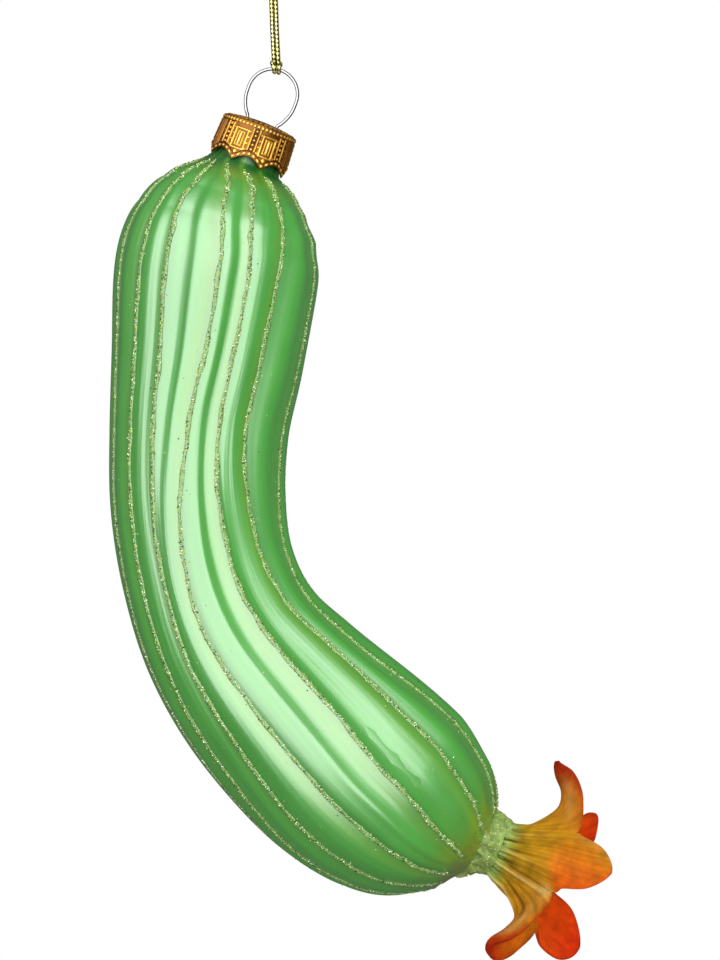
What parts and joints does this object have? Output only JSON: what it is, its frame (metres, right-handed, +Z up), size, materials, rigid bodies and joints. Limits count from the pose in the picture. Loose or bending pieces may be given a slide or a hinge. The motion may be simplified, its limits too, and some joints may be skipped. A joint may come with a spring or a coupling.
{
  "type": "hanging glass vegetable ornament",
  "caption": "Hanging blown glass zucchini ornament, ribbed and curved, with glitter lines, an orange blossom, a pressed metal cap with a ring, and a gold cord.",
  "frame": {"origin": "top of the inside of the cord's eye, where the hook or twig bears", "axes": "+Z up against gravity, +X to the right as the picture shows it (the way the blossom points), +Y away from the viewer"},
  "size_m": [0.0893, 0.039, 0.183],
  "materials": {
    "lacquered_glass": "satin green lacquer over silvered glass",
    "glitter": "pale gold and silver grains in clear glue",
    "cap_metal": "pressed and plated, warm gold with darker copper in the recesses",
    "wire": "bright drawn spring wire",
    "cord": "braided metallic gold thread",
    "glue": "glossy pale green glue with fine glitter",
    "blossom_resin": "semi-gloss translucent, olive at the base to orange and red at the tips"
  },
  "bodies": {
    "cord": {"cord_strand_left": "cord", "cord_strand_right": "cord", "cord_knot": "cord"},
    "hitch": {"cord_hitch": "cord"},
    "hanger": {"hanger_wire": "wire"},
    "cap": {"metal_cap": "cap_metal"},
    "glass": {"glass_body": "lacquered_glass", "glitter_line_01": "glitter", "glitter_line_02": "glitter", "glitter_line_03": "glitter", "glitter_line_04": "glitter", "glitter_line_05": "glitter", "glitter_line_06": "glitter", "glitter_line_07": "glitter", "glitter_line_08": "glitter", "glitter_line_09": "glitter", "glitter_line_10": "glitter", "glitter_line_11": "glitter", "glitter_line_12": "glitter", "glitter_line_13": "glitter", "glitter_line_14": "glitter", "blossom_glue_collar": "glue", "blossom": "blossom_resin"}
  },
  "joints": [
    {"name": "cord_swing", "type": "hinge", "parent": "cord", "child": "hitch", "pos_m": [0.00061, 0, -0.01665], "axis": [1, 0, 0], "range_deg": [-35, 35]},
    {"name": "ring_turn", "type": "hinge", "parent": "hitch", "child": "hanger", "pos_m": [0.00001, 0, -0.02208], "axis": [0, 1, 0], "range_deg": [-30, 30]},
    {"name": "cap_on_wire", "type": "slide", "parent": "hanger", "child": "cap", "axis": [-0.3502, 0, -0.9367], "range_m": [0, 0.004]},
    {"name": "cap_pull", "type": "slide", "parent": "cap", "child": "glass", "axis": [-0.3502, 0, -0.9367], "range_m": [0, 0.02]}
  ]
}
